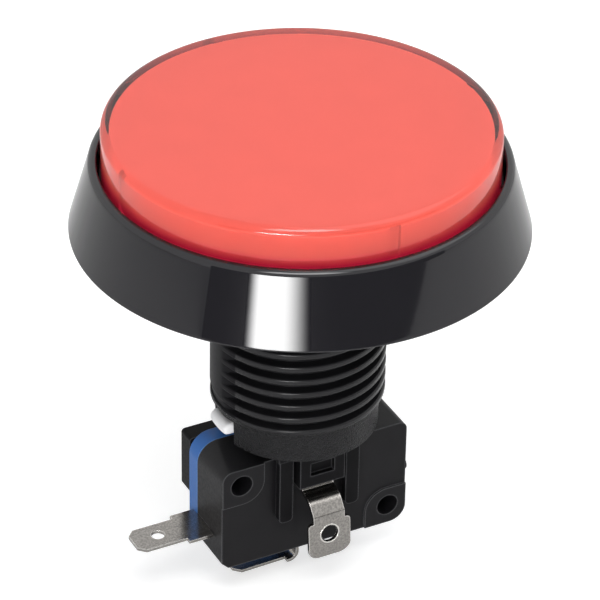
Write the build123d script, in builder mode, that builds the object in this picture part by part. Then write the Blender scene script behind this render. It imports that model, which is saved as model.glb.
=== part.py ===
from build123d import *
from math import cos, pi, radians, sin
import os

# Illuminated arcade push button. A clear cap clipped to a white plunger slides in a bezel with a
# threaded shank. A lamp holder in the shank's mouth carries a wedge lamp and a snap-action switch.
# Millimetres, +Z up, the origin on the axis where the bezel's underside rests on the panel.

# Stroke and clearances
cap_travel = 2.0  # stroke of the cap
slide_gap = 0.35  # plunger stem to the bore that guides it
guide_gap = 0.25  # plunger feet to the notches that guide them
bezel_gap = 0.5  # cap lens to the bezel's inner wall
clip_gap = 0.2  # cap lens to the plunger that it clips to
stop_gap = 0.2  # plunger feet to the tops of their notches at rest
press_gap = 0.3  # plunger pad to the switch button at rest
end_gap = 0.25  # plunger pad to the switch case at full stroke
stem_end_gap = 0.6  # plunger stem to the lamp holder's collar at full stroke
seat_gap = 0.05  # between fixed pieces that sit against each other
grip_gap = 0.2  # front housing and tongues to the switch's face
slab_gap = 0.15  # rear slab to the switch's cover
strip_gap = 0.1  # metal strips to the slots that hold them
peg_gap = 0.15  # lamp holder pegs to the switch holes
pin_gap = 0.05  # switch button to its bore

# Cap lens
cap_radius = 25.7
cap_plate = 1.5  # thickness of the top
cap_wall = 1.2
cap_stand = 5.1  # top of the cap above the bezel's rim
cap_edge_round = 1.0
cap_skirt_gap = 1.2  # cap skirt to the bezel's floor at full stroke
bead_height = 0.5
bead_reach = 0.5

# Plunger
disc_plate = 1.3
rim_depth = 5.0  # from the disc's top to the foot of its rim
rim_wall = 1.2
key_width = 1.6  # notches in the rim that key the cap lens
key_depth = 0.8
key_count = 4
stem_radius = 9.25
stem_wall = 1.35
foot_width = 4.4
foot_height = 1.9
foot_lift = 1.1  # feet above the pad's underside
foot_radius = 12.1  # outer faces of the feet
foot_round = 0.8
pad_lap = 1.7  # pad beyond the middle of the switch button
pad_plate = 2.0

# Bezel and shank
bezel_height = 9.9
bezel_edge = 0.6  # upright edge above the panel
bezel_lean = 0.30  # inward lean of the flank for each millimetre of height
bezel_floor = 1.8
rim_width = 1.01
rim_round = 0.8
rim_inner_cut = 0.25
shank_wall = 0.9  # from the bore to the thread's root
thread_depth = 1.2
thread_pitch = 2.0
thread_crest = 0.8
thread_flank = 0.2  # width of a flank along the axis
thread_start = 3.2  # first ridge below the panel face
thread_turns = 12
collar_length = 1.2  # plain collar under the bezel
band_length = 5.05  # from the last ridge to the shank's end
band_lift = 0.4  # band beyond the thread's root
strip_start = 150.0  # plain strip down the thread, degrees about the axis
strip_arc = 38.0
strip_fade = 4.0  # strip's tapered end below the last ridge
strip_lap = 4.0  # degrees by which the ridges run into the strip

# Return spring
spring_wire = 0.9
spring_gap = 1.3  # stem to the coils
spring_turns = 3
spring_sides = 8  # straight runs in a turn of the coil

# Lamp holder
core_gap = 0.5  # stem to the holder's core
core_height = 16.75  # core above the shank's end
socket_length = 10.0
socket_width = 5.4
socket_depth = 9.5
collar_gap = 0.25
collar_height = 3.65
lug_width = 3.6
lug_reach = 0.75  # bayonet lugs beyond the collar
lug_level = 1.35  # foot of the lugs above the shank's end
lug_height = 1.2
lug_gap = 0.1
bayonet_turn = 45.0
plate_thickness = 1.85
plate_length = 12.4
plate_front = 7.0
housing_width = 6.7
housing_front = 7.7
housing_depth = 6.45  # from the shank's end to the foot of the front housing
window_width = 3.5
window_height = 2.0
window_drop = 2.75
window_depth = 0.75
tongue_inner = 3.95
tongue_outer = 6.0
tongue_thickness = 1.15
tongue_length = 11.85
tongue_round = 0.7
slab_thickness = 2.65
slab_inset = 0.3  # wings' ends inside the switch's ends
slab_shoulder = 2.95  # top of the wings below the shank's end
short_wing = 12.05  # foot of the left wing below the shank's end
long_wing_margin = 2.4  # foot of the right wing below the lower hole
wing_round = 0.5
peg_reach = 1.5  # pegs beyond the cover

# Lamp contacts, steel strip. The tab's bends are given as (outwards, downwards) from the lip.
strip_thickness = 0.5
strip_width = 4.7
strip_bend = 0.6
lip_round = 0.3
ramp_round = 2.2
crease_round = 0.5
strip_stand_off = 0.65  # strip's middle from the switch case
contact_spread = 2.2  # strip's middle from the axis inside the socket
contact_drop = 0.5  # top of the strip below the core's top
lip_drop = 6.05  # lip below the top of the switch
ramp_bend = (2.1, 0.65)
crease_bend = (3.4, 2.3)
flap_bend = (3.85, 7.5)
tip_bend = (3.6, 8.9)
tab_width = 6.3
tab_shoulder = 3.2  # tab's shoulders below the lip
tab_corner = 1.7
shoulder_round = 0.6
tab_hole = 1.26
tab_hole_drop = 5.2

# Wedge lamp
wedge_length = 9.2
wedge_thickness = 2.6
wedge_end_gap = 0.5
lamp_radius = 4.8
lamp_height = 3.0
emitter_radius = 2.5
emitter_height = 6.0
emitter_round = 2.4
lead_radius = 0.3
lead_offset = 1.5
lead_margin = 1.0

# Snap-action switch
case_front = 5.55  # front face of the case from the axis
base_depth = 7.45
cover_depth = 2.8
case_length = 27.8
case_height = 15.9
case_wall = 1.4
face_wall = 1.6
top_left_round = 3.0
face_left_round = 1.5  # the same corner at the front face
top_right_round = 1.2
low_right_round = 2.3
low_left_cut = 1.0
hole_radius = 1.55
hole_inset = 2.8  # holes from the case's ends
hole_pitch = 10.3  # upper hole to lower hole
hole_drop = 2.65
boss_wall = 0.95
pad_height = 0.3
pad_width = 6.2
pad_drop = 5.75
pad_round = 3.2
nub_radius = 0.8
nub_drop = 7.7
nub_inset = 1.05  # nub from the front face
nub_height = 0.35
neck_gap = 0.2  # terminals to the cover
cover_cut = 0.3

# Switch button
button_inset = 7.9  # button from the case's left end
button_radius = 1.45
button_cut = 0.5
flange_radius = 1.9
flange_height = 1.4
flange_gap = 0.25
pusher_radius = 0.8
pusher_cut = 0.3
pusher_gap = 0.15

# Switch terminals and contacts
terminal_thickness = 0.5
terminal_width = 6.3
terminal_neck = 3.6
terminal_bend = 1.2
blade_width = 4.75
common_x = -1.25
common_post_x = 3.2
common_inner_drop = 10.35  # inner run of the common terminal below the case top
common_tail_drop = 3.8  # bend below the case
common_tail_length = 9.05
common_tail_fall = 0.15
common_shoulder = 1.55
blade_cut = 1.0
open_drop = 11.65  # normally open terminal below the case top
open_shoulder = 3.6
open_reach = 10.5
open_hole = 0.9
open_hole_inset = 3.7
open_inner_margin = 1.55  # terminal beyond the middle of its contact
snap_drop = 6.85  # snap blade's middle below the case top
snap_thickness = 0.3
snap_width = 3.6
snap_roll = 0.35  # radius of the blade's rolled end
snap_end_inset = 1.7  # blade's free end from the case's left end
snap_window_length = 5.5
snap_window_width = 1.8
snap_window_x = -1.2
contact_inset = 2.9  # contacts from the case's left end
contact_radius = 1.2
contact_depth = 0.6
contact_stud = 0.3
fixed_radius = 1.3
fixed_height = 0.5

# Levels and radii that follow from the sizes above
cap_top = bezel_height + cap_stand
cap_inner = cap_radius - cap_wall
cap_foot = bezel_floor + cap_travel + cap_skirt_gap
disc_top = cap_top - cap_plate - clip_gap
disc_bottom = disc_top - disc_plate
disc_radius = cap_inner - clip_gap
rim_foot = disc_top - rim_depth
rim_inner = cap_radius + bezel_gap
bezel_top_radius = rim_inner + rim_width
bezel_radius = bezel_top_radius + bezel_lean * (bezel_height - bezel_edge)
bore_radius = stem_radius + slide_gap
root_radius = bore_radius + shank_wall
shank_radius = root_radius + thread_depth
band_radius = root_radius + band_lift
last_ridge = thread_start + thread_pitch * (thread_turns - 1)
shank_end = -(last_ridge + band_length)
stem_inner = stem_radius - stem_wall
core_radius = stem_inner - core_gap
spring_radius = stem_radius + spring_gap + spring_wire / 2
spring_foot = bezel_floor + spring_wire / 2 + seat_gap
spring_height = disc_bottom - spring_wire / 2 - seat_gap - spring_foot
core_top = shank_end + core_height
collar_radius = bore_radius - collar_gap
collar_top = shank_end + collar_height
stem_foot = collar_top + cap_travel + stem_end_gap
plate_bottom = shank_end - plate_thickness
case_top = plate_bottom - seat_gap
case_bottom = case_top - case_height
case_end = case_length / 2
case_split = base_depth - case_front
switch_mid = case_split - neck_gap - terminal_neck / 2
case_back = case_split + cover_depth
pad_bottom = case_top + end_gap + cap_travel
foot_bottom = pad_bottom + foot_lift
foot_top = foot_bottom + foot_height
notch_top = foot_top + stop_gap
notch_width = foot_width + 2 * guide_gap
button_top = pad_bottom - press_gap
lug_bottom = shank_end + lug_level
lug_radius = collar_radius + lug_reach
lip_level = case_top - lip_drop
peg_radius = hole_radius - peg_gap
slab_front = case_back + slab_gap
slab_back = slab_front + slab_thickness
hole_high = (hole_inset - case_end, case_top - hole_drop)
hole_low = (case_end - hole_inset, case_top - hole_drop - hole_pitch)
snap_level = case_top - snap_drop
open_level = case_top - open_drop
button_x = button_inset - case_end
pad_tip = -button_x - pad_lap
contact_x = contact_inset - case_end
open_inner = contact_inset + seat_gap + open_inner_margin


def turned_plane(degrees):
    """Upright plane through the axis, turned about it from +X: local x is radius and local y is height."""
    way = radians(degrees)
    return Plane(origin=(0, 0, 0), x_dir=(cos(way), sin(way), 0), z_dir=(sin(way), -cos(way), 0))


def facing_plane(y):
    """Plane across Y at the given place: local x is X, local y is Z, and its normal is -Y."""
    return Plane.XZ.offset(-y)


def spring_points():
    """Corners round a rising coil: the runs between them touch the coil's cylinder at their middles."""
    corner_radius = spring_radius / cos(pi / spring_sides)
    count = spring_turns * spring_sides
    points = []
    for corner in range(count + 1):
        way = 2 * pi * corner / spring_sides
        height = spring_foot + spring_height * corner / count
        points.append((corner_radius * cos(way), corner_radius * sin(way), height))
    return points


def lamp_strip_points(side):
    """Middle line of a lamp contact in Y and Z: up the socket, out through the plate and down to the tab."""
    run = -(case_front + strip_stand_off) if side < 0 else case_back + strip_stand_off
    level = shank_end - plate_thickness / 2
    points = [(side * contact_spread, core_top - contact_drop), (side * contact_spread, level)]
    points += [(run, level), (run, lip_level)]
    for out, down in (ramp_bend, crease_bend, flap_bend, tip_bend):
        points.append((run + side * out, lip_level - down))
    return points


def lamp_strip(side, thickness):
    """Edge view of a lamp contact of the given thickness."""
    rounds = [strip_bend] * 2 + [lip_round] + [ramp_round] + [crease_round] * 2
    with BuildSketch(Plane.YZ) as strip:
        with BuildLine():
            FilletPolyline(*lamp_strip_points(side), radius=rounds)
        trace(line_width=thickness)
    return strip.sketch


def case_outline(y, left_round):
    """Side view of the switch case, with its own round at each corner."""
    middle = (case_top + case_bottom) / 2
    with BuildSketch(facing_plane(y)) as outline:
        with Locations((0, middle)):
            Rectangle(case_length, case_height)
        fillet(outline.vertices().sort_by_distance((-case_end, case_top))[0], radius=left_round)
        fillet(outline.vertices().sort_by_distance((case_end, case_top))[0], radius=top_right_round)
        fillet(outline.vertices().sort_by_distance((case_end, case_bottom))[0], radius=low_right_round)
        chamfer(outline.vertices().sort_by_distance((-case_end, case_bottom))[0], length=low_left_cut)
    return outline.sketch


os.makedirs("parts", exist_ok=True)

# Clear cap: flat top, rounded edge and a skirt with a bead and keys inside
with BuildPart() as cap_lens:
    with BuildSketch(Plane.XY.offset(cap_foot)):
        Circle(cap_radius)
    extrude(amount=cap_top - cap_foot)
    fillet(cap_lens.faces().sort_by(Axis.Z)[-1].edges(), radius=cap_edge_round)
    with BuildSketch(Plane.XY.offset(cap_foot)):
        Circle(cap_inner)
    extrude(amount=cap_top - cap_plate - cap_foot, mode=Mode.SUBTRACT)
    # Bead under the plunger's rim
    with BuildSketch(Plane.XY.offset(rim_foot - clip_gap - bead_height)):
        Circle(cap_inner + cap_wall / 2)
        Circle(cap_inner - bead_reach, mode=Mode.SUBTRACT)
    extrude(amount=bead_height)
    # Keys in the rim's notches
    with BuildSketch(Plane.XY.offset(rim_foot)):
        with PolarLocations(disc_radius - key_depth + clip_gap, key_count):
            Rectangle(key_depth + cap_wall / 2, key_width - clip_gap, align=(Align.MIN, Align.CENTER))
    extrude(amount=cap_top - cap_plate - rim_foot)
cap_lens.part.label = "cap_lens"
export_step(cap_lens.part, "parts/cap_lens.step")

# White plunger: lit disc, stem and two feet
with BuildPart() as plunger:
    with BuildSketch(Plane.XZ):
        with BuildLine():
            Polyline(
                (0, disc_top),
                (disc_radius, disc_top),
                (disc_radius, rim_foot),
                (disc_radius - rim_wall, rim_foot),
                (disc_radius - rim_wall, disc_bottom),
                (stem_radius, disc_bottom),
                (stem_radius, stem_foot),
                (stem_inner, stem_foot),
                (stem_inner, disc_bottom),
                (0, disc_bottom),
                close=True,
            )
        make_face()
    revolve(axis=Axis.Z)
    with BuildSketch(Plane.XY.offset(rim_foot)):
        with PolarLocations(disc_radius, key_count):
            Rectangle(2 * key_depth, key_width)
    extrude(amount=rim_depth, mode=Mode.SUBTRACT)
    # Legs that carry the feet on down
    with BuildSketch(Plane.XY.offset(foot_bottom)):
        Circle(stem_radius)
        Circle(stem_inner, mode=Mode.SUBTRACT)
        Rectangle(2 * stem_radius, foot_width, mode=Mode.INTERSECT)
    extrude(amount=stem_foot - foot_bottom)
    # Feet in the shank's notches
    with BuildSketch(Plane.XY.offset(foot_bottom)):
        Circle(foot_radius)
        Circle(stem_inner, mode=Mode.SUBTRACT)
        Rectangle(2 * foot_radius, foot_width, mode=Mode.INTERSECT)
    extrude(amount=foot_height)
    foot_edges = plunger.edges().filter_by_position(Axis.Z, foot_top, foot_top)
    fillet(foot_edges.filter_by(GeomType.CIRCLE).group_by(SortBy.RADIUS)[-1], radius=foot_round)
    # Pad over the switch button
    with BuildSketch(Plane.XY.offset(pad_bottom)):
        with Locations((-pad_tip, 0)):
            Rectangle(stem_radius - pad_tip, foot_width, align=(Align.MAX, Align.CENTER))
    extrude(amount=pad_plate)
plunger.part.label = "plunger"
export_step(plunger.part, "parts/plunger.step")

# Return spring round the stem, from the bezel's floor to the disc
with BuildPart() as return_spring:
    with BuildLine() as coil:
        Polyline(*spring_points())
    with BuildSketch(Plane(origin=coil.line @ 0, z_dir=coil.line % 0)):
        Circle(spring_wire / 2)
    sweep(path=coil.line, transition=Transition.RIGHT)
return_spring.part.label = "return_spring"
export_step(return_spring.part, "parts/return_spring.step")

# Bezel with a leaning flank, and the threaded shank under it
with BuildPart() as bezel_body:
    with BuildSketch(Plane.XZ):
        with BuildLine():
            Polyline(
                (bore_radius, shank_end),
                (band_radius, shank_end),
                (band_radius, -last_ridge),
                (root_radius, -last_ridge),
                (root_radius, -collar_length),
                (shank_radius, -collar_length),
                (shank_radius, 0),
                (bezel_radius, 0),
                (bezel_radius, bezel_edge),
                (bezel_top_radius, bezel_height),
                (rim_inner, bezel_height),
                (rim_inner, bezel_floor),
                (bore_radius, bezel_floor),
                close=True,
            )
        make_face()
    revolve(axis=Axis.Z)
    rim_edges = bezel_body.edges().filter_by(GeomType.CIRCLE).group_by(Axis.Z)[-1].sort_by(SortBy.RADIUS)
    fillet(rim_edges[-1], radius=rim_round)
    rim_edges = bezel_body.edges().filter_by(GeomType.CIRCLE).group_by(Axis.Z)[-1].sort_by(SortBy.RADIUS)
    chamfer(rim_edges[0], length=rim_inner_cut)
    # Thread ridges, from one side of the plain strip round to the other
    ridge_foot = thread_crest / 2 + thread_flank
    with BuildSketch(turned_plane(strip_start + strip_arc - strip_lap)):
        for turn in range(thread_turns):
            level = -(thread_start + turn * thread_pitch)
            with BuildLine():
                Polyline(
                    (root_radius - shank_wall / 2, level - ridge_foot),
                    (root_radius, level - ridge_foot),
                    (shank_radius, level - thread_crest / 2),
                    (shank_radius, level + thread_crest / 2),
                    (root_radius, level + ridge_foot),
                    (root_radius - shank_wall / 2, level + ridge_foot),
                    close=True,
                )
            make_face()
    revolve(axis=Axis.Z, revolution_arc=360 - strip_arc + 2 * strip_lap)
    # Plain strip down the thread, fading out on the band
    with BuildSketch(turned_plane(strip_start)):
        with BuildLine():
            Polyline(
                (root_radius - shank_wall / 2, 0),
                (shank_radius, 0),
                (shank_radius, thread_pitch - last_ridge),
                (band_radius, -last_ridge - strip_fade),
                (root_radius - shank_wall / 2, -last_ridge - strip_fade),
                close=True,
            )
        make_face()
    revolve(axis=Axis.Z, revolution_arc=strip_arc)
    # Notches for the plunger's feet
    with BuildSketch(Plane.XY.offset(shank_end)):
        Rectangle(3 * shank_radius, notch_width)
    extrude(amount=notch_top - shank_end, mode=Mode.SUBTRACT)
    # Ring groove and entry slots for the lamp holder's lugs
    with BuildSketch(Plane.XY.offset(lug_bottom - lug_gap)):
        Circle(lug_radius + lug_gap)
    extrude(amount=lug_height + 2 * lug_gap, mode=Mode.SUBTRACT)
    with BuildSketch(Plane.XY.offset(shank_end)):
        Circle(lug_radius + lug_gap)
        with PolarLocations(0, 2, start_angle=90 - bayonet_turn):
            Rectangle(2 * shank_radius, lug_width + 2 * lug_gap, mode=Mode.INTERSECT)
    extrude(amount=lug_level, mode=Mode.SUBTRACT)
bezel_body.part.label = "bezel_body"
export_step(bezel_body.part, "parts/bezel_body.step")

# Lamp holder: core in the stem, collar with bayonet lugs, plate, front housing, tongues and rear slab
with BuildPart() as lamp_holder:
    with BuildSketch(Plane.XY.offset(shank_end)):
        Circle(core_radius)
    extrude(amount=core_height)
    with BuildSketch(Plane.XY.offset(shank_end)):
        Circle(collar_radius)
        Rectangle(3 * collar_radius, notch_width, mode=Mode.SUBTRACT)
    extrude(amount=collar_height)
    with BuildSketch(Plane.XY.offset(lug_bottom)):
        Circle(lug_radius)
        Rectangle(lug_width, 2 * lug_radius, mode=Mode.INTERSECT)
    extrude(amount=lug_height)
    # Plate under the shank
    with BuildSketch(Plane.XY.offset(plate_bottom)):
        with Locations((0, -plate_front)):
            Rectangle(plate_length, plate_front + slab_back, align=(Align.CENTER, Align.MIN))
    extrude(amount=plate_thickness)
    # Front housing and its window
    with BuildSketch(facing_plane(-case_front - grip_gap)):
        with Locations((0, shank_end)):
            Rectangle(housing_width, housing_depth, align=(Align.CENTER, Align.MAX))
    extrude(amount=housing_front - case_front - grip_gap)
    with BuildSketch(facing_plane(-housing_front)):
        with Locations((0, shank_end - window_drop)):
            Rectangle(window_width, window_height, align=(Align.CENTER, Align.MAX))
    extrude(amount=-window_depth, mode=Mode.SUBTRACT)
    # Tongues that grip the switch from the front
    tongue_width = tongue_outer - tongue_inner
    with BuildSketch(facing_plane(-case_front - grip_gap)) as tongues:
        for way in (-1, 1):
            with Locations((way * (tongue_inner + tongue_width / 2), shank_end)):
                Rectangle(tongue_width, tongue_length, align=(Align.CENTER, Align.MAX))
        fillet(tongues.vertices().group_by(Axis.Y)[0], radius=tongue_round)
    extrude(amount=tongue_thickness)
    # Rear slab with a short and a long wing, open behind the rear contact's tab
    with BuildSketch(facing_plane(slab_back)) as slab:
        with BuildLine():
            Polyline(
                (-plate_length / 2, shank_end),
                (-plate_length / 2, shank_end - slab_shoulder),
                (slab_inset - case_end, shank_end - slab_shoulder),
                (slab_inset - case_end, shank_end - short_wing),
                (-housing_width / 2, shank_end - short_wing),
                (-housing_width / 2, shank_end - housing_depth),
                (housing_width / 2, shank_end - housing_depth),
                (housing_width / 2, shank_end - short_wing),
                (plate_length / 2, hole_low[1] - long_wing_margin),
                (case_end - slab_inset, hole_low[1] - long_wing_margin),
                (case_end - slab_inset, shank_end - slab_shoulder),
                (plate_length / 2, shank_end - slab_shoulder),
                (plate_length / 2, shank_end),
                close=True,
            )
        make_face()
        fillet(slab.vertices().group_by(Axis.X)[0], radius=wing_round)
        fillet(slab.vertices().group_by(Axis.X)[-1], radius=wing_round)
    extrude(amount=slab_thickness)
    # Pegs in the switch's holes
    with BuildSketch(facing_plane(slab_front)):
        with Locations(hole_high, hole_low):
            Circle(peg_radius)
    extrude(amount=slab_front - case_split + peg_reach)
    # Room for the pad of the plunger
    with BuildSketch(Plane.XY.offset(plate_bottom)):
        with Locations((-pad_tip + slide_gap, 0)):
            Rectangle(collar_radius, notch_width, align=(Align.MAX, Align.CENTER))
    extrude(amount=pad_bottom + pad_plate + slide_gap - plate_bottom, mode=Mode.SUBTRACT)
    # Socket for the wedge and slots for the two contacts
    with BuildSketch(Plane.XY.offset(core_top)):
        Rectangle(socket_length, socket_width)
    extrude(amount=-socket_depth, mode=Mode.SUBTRACT)
    for side in (-1, 1):
        slot = lamp_strip(side, strip_thickness + 2 * strip_gap)
        extrude(slot, amount=strip_width / 2 + strip_gap, both=True, mode=Mode.SUBTRACT)
lamp_holder.part.label = "lamp_holder"
export_step(lamp_holder.part, "parts/lamp_holder.step")

# Lamp contacts: bent strips that widen to a tab with a hole
for side, name in ((-1, "lamp_terminal_front"), (1, "lamp_terminal_rear")):
    with BuildPart() as lamp_terminal:
        extrude(lamp_strip(side, strip_thickness), amount=tab_width / 2, both=True)
        with BuildSketch(Plane.XZ) as flat:
            tip_level = lip_level - tip_bend[1]
            with Locations((0, tip_level)):
                Rectangle(strip_width, core_top - tip_level, align=(Align.CENTER, Align.MIN))
                Rectangle(tab_width, lip_level - tab_shoulder - tip_level, align=(Align.CENTER, Align.MIN))
            fillet(flat.vertices().group_by(Axis.Y)[0], radius=tab_corner)
            shoulders = flat.vertices().group_by(Axis.X)
            shoulders = [shoulders[0].sort_by(Axis.Y)[-1], shoulders[-1].sort_by(Axis.Y)[-1]]
            fillet(shoulders, radius=shoulder_round)
            with Locations((0, lip_level - tab_hole_drop)):
                Circle(tab_hole, mode=Mode.SUBTRACT)
        extrude(amount=bezel_radius, both=True, mode=Mode.INTERSECT)
    lamp_terminal.part.label = name
    export_step(lamp_terminal.part, f"parts/{name}.step")

# Wedge lamp: base, domed emitter and the two bare leads
with BuildPart() as lamp_base:
    with BuildSketch(Plane.XY.offset(core_top)):
        Rectangle(wedge_length, wedge_thickness)
    extrude(amount=wedge_end_gap - socket_depth)
    with BuildSketch(Plane.XY.offset(core_top)):
        Circle(lamp_radius)
    extrude(amount=lamp_height)
lamp_base.part.label = "lamp_base"
export_step(lamp_base.part, "parts/lamp_base.step")

with BuildPart() as led_emitter:
    with BuildSketch(Plane.XY.offset(core_top + lamp_height)):
        Circle(emitter_radius)
    extrude(amount=emitter_height)
    fillet(led_emitter.faces().sort_by(Axis.Z)[-1].edges(), radius=emitter_round)
led_emitter.part.label = "led_emitter"
export_step(led_emitter.part, "parts/led_emitter.step")

for side, name in ((-1, "lamp_lead_front"), (1, "lamp_lead_rear")):
    with BuildPart() as lamp_lead:
        with BuildSketch(Plane.XY.offset(core_top)):
            with Locations((side * lead_offset, side * (wedge_thickness / 2 + lead_radius))):
                Circle(lead_radius)
        extrude(amount=lead_margin + wedge_end_gap - socket_depth)
    lamp_lead.part.label = name
    export_step(lamp_lead.part, f"parts/{name}.step")

# Switch case: base open at the back, with bosses round the two holes
with BuildPart() as switch_base:
    loft([case_outline(case_split, top_left_round), case_outline(-case_front, face_left_round)], ruled=True)
    with BuildSketch(facing_plane(case_split)):
        add(case_outline(case_split, top_left_round))
        offset(amount=-case_wall, mode=Mode.REPLACE)
    extrude(amount=base_depth - face_wall, mode=Mode.SUBTRACT)
    with BuildSketch(facing_plane(case_split)):
        with Locations(hole_high, hole_low):
            Circle(hole_radius + boss_wall)
    extrude(amount=base_depth)
    # Raised pads on the face round the holes
    with BuildSketch(facing_plane(-case_front)) as pads:
        for way, corner_z in ((-1, case_top), (1, case_bottom)):
            with Locations((way * (case_end - pad_width / 2), corner_z + way * pad_drop / 2)):
                Rectangle(pad_width, pad_drop)
            inner_corner = (way * (case_end - pad_width), corner_z + way * pad_drop)
            fillet(pads.vertices().sort_by_distance(inner_corner)[0], radius=pad_round)
        add(case_outline(-case_front, face_left_round), mode=Mode.INTERSECT)
    extrude(amount=pad_height)
    # Locating nub on the end
    with BuildSketch(Plane.YZ.offset(case_end)):
        with Locations((nub_inset - case_front, case_top - nub_drop)):
            Circle(nub_radius)
    extrude(amount=nub_height)
    # Screw holes
    with BuildSketch(facing_plane(case_split)):
        with Locations(hole_high, hole_low):
            Circle(hole_radius)
    extrude(amount=base_depth + pad_height, mode=Mode.SUBTRACT)
    # Bore for the button
    with BuildSketch(Plane.XY.offset(case_top)):
        with Locations((button_x, switch_mid)):
            Circle(button_radius + pin_gap)
    extrude(amount=-case_wall, mode=Mode.SUBTRACT)
    # Slots for the terminals
    slot_thickness = terminal_thickness + 2 * seat_gap
    slot_width = terminal_neck + 2 * seat_gap
    with BuildSketch(Plane.XY.offset(case_bottom)):
        with Locations((common_x, switch_mid)):
            Rectangle(slot_thickness, slot_width)
    extrude(amount=case_wall, mode=Mode.SUBTRACT)
    with BuildSketch(Plane.YZ.offset(-case_end)):
        with Locations((switch_mid, open_level)):
            Rectangle(slot_width, slot_thickness)
    extrude(amount=case_wall, mode=Mode.SUBTRACT)
switch_base.part.label = "switch_base"
export_step(switch_base.part, "parts/switch_base.step")

# Blue rear cover
with BuildPart() as switch_cover:
    extrude(case_outline(case_back, top_left_round), amount=cover_depth)
    chamfer(switch_cover.faces().sort_by(Axis.Y)[-1].outer_wire().edges(), length=cover_cut)
    with BuildSketch(facing_plane(case_back)):
        with Locations(hole_high, hole_low):
            Circle(hole_radius)
    extrude(amount=cover_depth, mode=Mode.SUBTRACT)
switch_cover.part.label = "switch_cover"
export_step(switch_cover.part, "parts/switch_cover.step")

# Switch button: head with a cut edge, flange inside the case and a pusher on the snap blade
flange_top = case_top - case_wall - flange_gap
flange_bottom = flange_top - flange_height
pusher_foot = snap_level + snap_thickness / 2 + pusher_gap
with BuildPart() as switch_button:
    with BuildSketch(Plane.XY.offset(flange_bottom)):
        with Locations((button_x, switch_mid)):
            Circle(button_radius)
    extrude(amount=button_top - flange_bottom)
    chamfer(switch_button.faces().sort_by(Axis.Z)[-1].edges(), length=button_cut)
    with BuildSketch(Plane.XY.offset(flange_bottom)):
        with Locations((button_x, switch_mid)):
            Circle(flange_radius)
    extrude(amount=flange_height)
    with BuildSketch(Plane.XY.offset(flange_bottom)):
        with Locations((button_x, switch_mid)):
            Circle(pusher_radius)
    extrude(amount=pusher_foot - flange_bottom)
    chamfer(switch_button.faces().sort_by(Axis.Z)[0].edges(), length=pusher_cut)
switch_button.part.label = "switch_button"
export_step(switch_button.part, "parts/switch_button.step")

# Common terminal: post under the snap blade, out through the floor and bent along under the case
common_inner = case_top - common_inner_drop
common_bend = case_bottom - common_tail_drop
common_post_top = snap_level - snap_roll - pusher_gap
with BuildPart() as common_terminal:
    with BuildSketch(Plane.XZ):
        with BuildLine():
            FilletPolyline(
                (common_post_x, common_post_top),
                (common_post_x, common_inner),
                (common_x, common_inner),
                (common_x, common_bend),
                (common_x - common_tail_length, common_bend - common_tail_fall),
                radius=terminal_bend,
            )
        trace(line_width=terminal_thickness)
    extrude(amount=terminal_width, both=True)
    # Flat pattern: narrow inside the case, a shoulder below it, then the blade with cut corners
    with BuildSketch(Plane.XY) as flat:
        with Locations((common_x, switch_mid)):
            Rectangle(2 * case_length, terminal_width)
    extrude(amount=2 * case_bottom, mode=Mode.INTERSECT)
    with BuildSketch(Plane.XY.offset(case_bottom)):
        with Locations((0, switch_mid)):
            Rectangle(2 * case_length, 2 * terminal_width)
            Rectangle(2 * case_length, terminal_neck, mode=Mode.SUBTRACT)
    extrude(amount=case_height, mode=Mode.SUBTRACT)
    with BuildSketch(Plane.XY.offset(case_bottom)):
        with Locations((common_x - common_shoulder, switch_mid)):
            Rectangle(case_length, 2 * terminal_width, align=(Align.MAX, Align.CENTER))
            Rectangle(case_length, blade_width, align=(Align.MAX, Align.CENTER), mode=Mode.SUBTRACT)
    extrude(amount=-case_height, mode=Mode.SUBTRACT)
    tip_edges = common_terminal.faces().sort_by(Axis.X)[0].edges().sort_by(Axis.Y)
    chamfer([tip_edges[0], tip_edges[-1]], length=blade_cut)
common_terminal.part.label = "common_terminal"
export_step(common_terminal.part, "parts/common_terminal.step")

# Normally open terminal: contact end inside the case, shoulder outside and a narrower blade
with BuildPart() as normally_open_terminal:
    with BuildSketch(Plane.XY.offset(open_level - terminal_thickness / 2)) as flat:
        with Locations((-case_end - seat_gap, switch_mid)):
            Rectangle(open_reach, blade_width, align=(Align.MAX, Align.CENTER))
        chamfer(flat.vertices().group_by(Axis.X)[0], length=blade_cut)
        with Locations((-case_end - seat_gap, switch_mid)):
            Rectangle(open_shoulder, terminal_width, align=(Align.MAX, Align.CENTER))
            Rectangle(open_inner, terminal_neck, align=(Align.MIN, Align.CENTER))
        with Locations((-case_end - seat_gap - open_reach + open_hole_inset, switch_mid)):
            Circle(open_hole, mode=Mode.SUBTRACT)
    extrude(amount=terminal_thickness)
normally_open_terminal.part.label = "normally_open_terminal"
export_step(normally_open_terminal.part, "parts/normally_open_terminal.step")

# Snap blade with a window, and the two contact rivets
with BuildPart() as snap_blade:
    with BuildSketch(Plane.XY.offset(snap_level - snap_thickness / 2)):
        with Locations((common_post_x, switch_mid)):
            snap_length = common_post_x + case_end - snap_end_inset
            Rectangle(snap_length, snap_width, align=(Align.MAX, Align.CENTER))
        with Locations((snap_window_x, switch_mid)):
            Rectangle(snap_window_length, snap_window_width, mode=Mode.SUBTRACT)
        with Locations((contact_x, switch_mid)):
            Circle(contact_radius / 2, mode=Mode.SUBTRACT)
    extrude(amount=snap_thickness)
    # Rolled end that turns on the common terminal's post
    with BuildSketch(facing_plane(switch_mid)):
        with Locations((common_post_x, snap_level)):
            Circle(snap_roll)
    extrude(amount=snap_width / 2, both=True)
snap_blade.part.label = "snap_blade"
export_step(snap_blade.part, "parts/snap_blade.step")

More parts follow.
